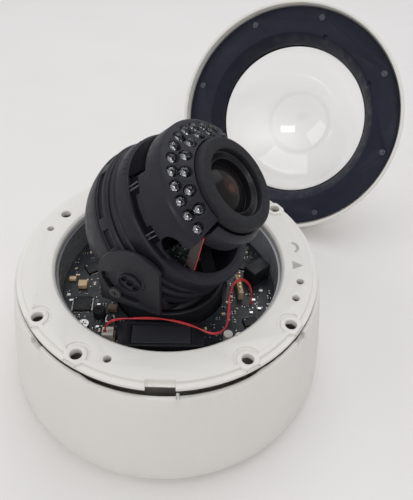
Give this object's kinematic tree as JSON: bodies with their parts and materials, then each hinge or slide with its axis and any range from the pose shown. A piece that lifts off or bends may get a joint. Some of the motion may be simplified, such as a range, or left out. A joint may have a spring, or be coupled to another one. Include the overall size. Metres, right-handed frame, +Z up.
{
  "type": "dome security camera",
  "caption": "Opened dome camera: white round base with a three-axis black camera ball and its clear dome cover leaning beside it.",
  "frame": {"origin": "middle of the base on the surface it stands on", "axes": "+Z up through the opening of the base, -Y towards the front of the base; the lens looks towards +X and up"},
  "size_m": [0.2406, 0.2988, 0.1413],
  "materials": {
    "white_paint": "satin warm white powder coat",
    "zinc_steel": "zinc plated",
    "steel_screw": "plated",
    "black_screw": "black oxide",
    "black_rubber": "matt",
    "black_plastic": "fine texture",
    "ball_black": "satin moulded",
    "grey_plastic": "satin",
    "board_black": "black solder mask with white print",
    "board_green": "dark green solder mask",
    "beige_plastic": "gloss",
    "white_plastic": "gloss",
    "gold_pins": "gold flash",
    "tan_parts": "moulded",
    "brown_parts": "moulded",
    "chip_black": "moulded epoxy",
    "solder": "tinned",
    "button_black": "satin",
    "red_wire": "satin insulation",
    "led_clear": "clear epoxy",
    "black_anodised": "black anodised",
    "lens_glass": "coated optical glass",
    "sensor_glass": "cover glass",
    "flex_grey": "polyimide",
    "liner_navy": "satin",
    "clear_dome": "clear polycarbonate"
  },
  "bodies": {
    "base": {"skirt": "white_paint", "housing": "white_paint", "tray": "white_paint", "wall_plate": "zinc_steel", "plate_screws": "steel_screw", "cable_gland": "black_rubber", "wall_liner": "black_plastic", "main_board": "board_black", "board_screws": "steel_screw", "module_box": "black_plastic", "module_lid": "grey_plastic", "plug_base": "beige_plastic", "wire_plug": "white_plastic", "header_strip": "beige_plastic", "header_pins": "gold_pins", "round_post": "white_plastic", "tan_capacitors": "tan_parts", "brown_capacitor": "brown_parts", "round_coil": "black_rubber", "chips": "chip_black", "pale_parts": "solder", "relay": "black_plastic", "button_frame": "steel_screw", "pan_seat": "black_plastic", "red_wires": "red_wire"},
    "button": {"service_button": "button_black"},
    "pan": {"yoke": "ball_black"},
    "tilt": {"rear_shell": "ball_black", "tilt_ring": "ball_black", "pivot_pins": "ball_black", "tilt_lock_screws": "black_screw"},
    "roll": {"mid_barrel": "ball_black", "front_cover": "ball_black", "led_board": "board_green", "outer_leds": "led_clear", "inner_leds": "led_clear", "rubber_hood": "black_rubber", "lens_collar": "ball_black", "lens_sleeve": "ball_black", "lens_barrel": "black_anodised", "front_lens": "lens_glass", "iris_stop": "black_anodised", "rear_lens": "lens_glass", "lens_mount": "black_plastic", "sensor_board": "board_green", "image_sensor": "sensor_glass", "flex_strap": "flex_grey", "driver_board": "board_green"},
    "cover": {"cover_trim": "white_paint", "cover_liner": "liner_navy", "liner_screws": "black_screw", "clear_dome": "clear_dome", "dome_seal": "black_rubber"}
  },
  "joints": [
    {"name": "pan", "type": "hinge", "parent": "base", "child": "pan", "pos_m": [0, 0, 0.0925], "axis": [0, 0, 1], "range_deg": [-175, 175]},
    {"name": "tilt", "type": "hinge", "parent": "pan", "child": "tilt", "pos_m": [0, 0, 0.0925], "axis": [-0.3875, -0.9219, 0], "range_deg": [-45, 44]},
    {"name": "roll", "type": "hinge", "parent": "tilt", "child": "roll", "pos_m": [0, 0, 0.0925], "axis": [0.6438, -0.2706, 0.7157], "range_deg": [-175, 175]},
    {"name": "button_press", "type": "slide", "parent": "base", "child": "button", "axis": [0, 0, -1], "range_m": [0, 0.0004], "stiffness_N_per_m": 600, "springref_m": -0.0004},
    {"name": "cover_swing", "type": "hinge", "parent": "base", "child": "cover", "pos_m": [0.02831, 0.04928, 0.06346], "axis": [0.8489, -0.5281, -0.0239], "range_deg": [0, 120.39]}
  ]
}
